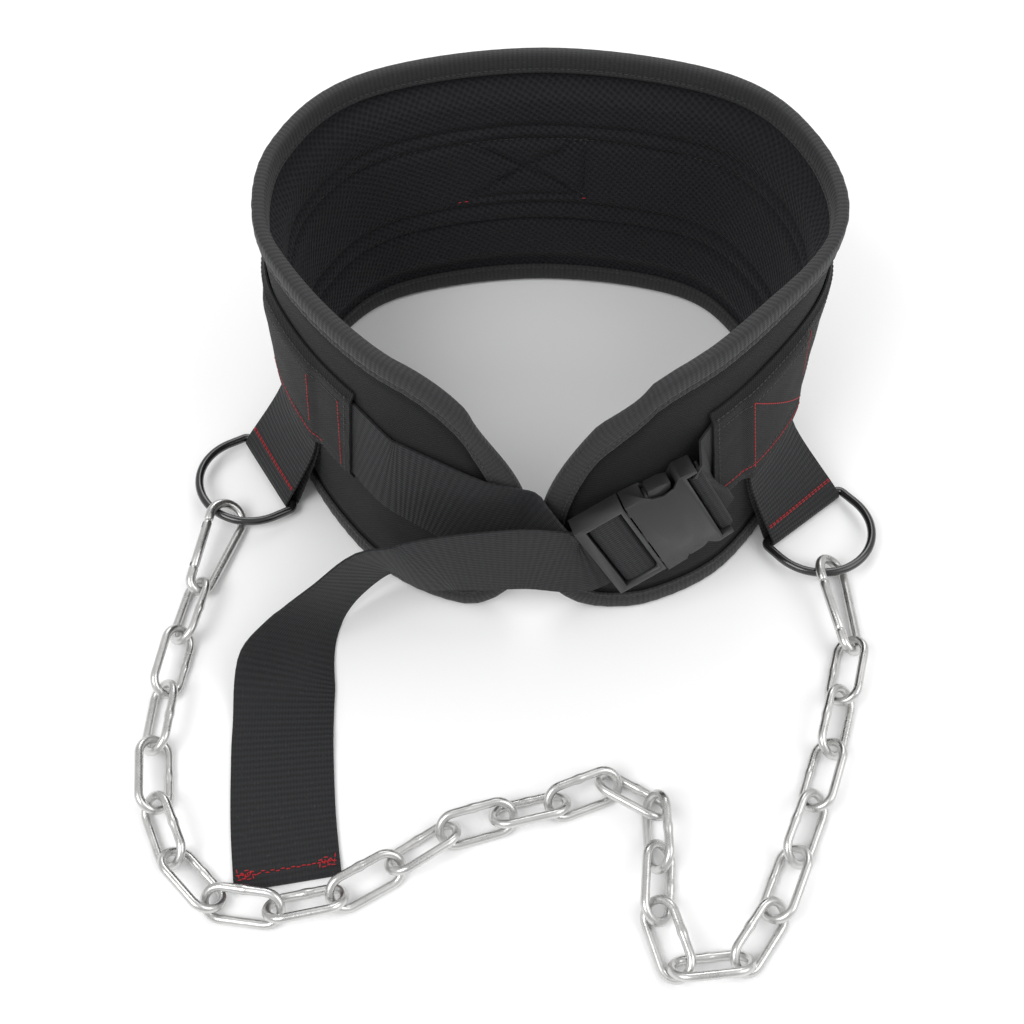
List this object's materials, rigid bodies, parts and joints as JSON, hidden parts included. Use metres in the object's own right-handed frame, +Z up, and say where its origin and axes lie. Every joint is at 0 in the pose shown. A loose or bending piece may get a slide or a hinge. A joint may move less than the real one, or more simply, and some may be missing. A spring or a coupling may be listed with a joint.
{
  "type": "dip belt",
  "caption": "Padded waist belt with a side release buckle, a wide webbing band, D rings, snap hooks and a chain that carries a hanging weight.",
  "frame": {"origin": "on the floor, below the middle of the bounding box", "axes": "+Z up along the height of the belt, -Y towards the buckle and the chain, +X to the side of the buckle's socket"},
  "size_m": [0.377, 0.4462, 0.1539],
  "materials": {
    "shell": "woven nylon over foam, matte charcoal",
    "lining": "spacer mesh, matte black",
    "tape": "woven binding tape, dark grey",
    "webbing": "ribbed nylon webbing, dark grey, with red stitching",
    "gunmetal": "gloss black coated wire",
    "zinc": "satin zinc plated wire",
    "plastic": "moulded, fine matte texture"
  },
  "bodies": {
    "belt": {"belt_shell": "shell", "belt_lining": "lining", "edge_binding": "tape", "outer_band": "webbing", "waist_strap_left": "webbing", "waist_strap_right": "webbing", "buckle_tongue": "plastic", "buckle_socket": "plastic", "ring_tab_left": "webbing", "ring_tab_right": "webbing", "d_ring_left": "gunmetal", "d_ring_right": "gunmetal", "hook_body_left": "zinc", "hook_body_right": "zinc", "chain_link_01": "zinc", "chain_link_02": "zinc", "chain_link_03": "zinc", "chain_link_04": "zinc", "chain_link_05": "zinc", "chain_link_06": "zinc", "chain_link_07": "zinc", "chain_link_08": "zinc", "chain_link_09": "zinc", "chain_link_10": "zinc", "chain_link_11": "zinc", "chain_link_12": "zinc", "chain_link_13": "zinc", "chain_link_14": "zinc", "chain_link_15": "zinc", "chain_link_16": "zinc", "chain_link_17": "zinc", "chain_link_18": "zinc", "chain_link_19": "zinc", "chain_link_20": "zinc", "chain_link_21": "zinc", "chain_link_22": "zinc", "chain_link_23": "zinc", "chain_link_24": "zinc"},
    "gate_left": {"hook_gate_left": "zinc"},
    "gate_right": {"hook_gate_right": "zinc"}
  },
  "joints": [
    {"name": "gate_left_hinge", "type": "hinge", "parent": "belt", "child": "gate_left", "pos_m": [-0.16883, 0.01146, 0.01362], "axis": [0.5916, -0.1719, 0.7877], "range_deg": [0, 14], "stiffness_Nm_per_rad": 0.03, "springref_deg": -8.59},
    {"name": "gate_right_hinge", "type": "hinge", "parent": "belt", "child": "gate_right", "pos_m": [0.15565, -0.02513, 0.01362], "axis": [0.614, 0.0515, 0.7877], "range_deg": [0, 14], "stiffness_Nm_per_rad": 0.03, "springref_deg": -8.59}
  ]
}
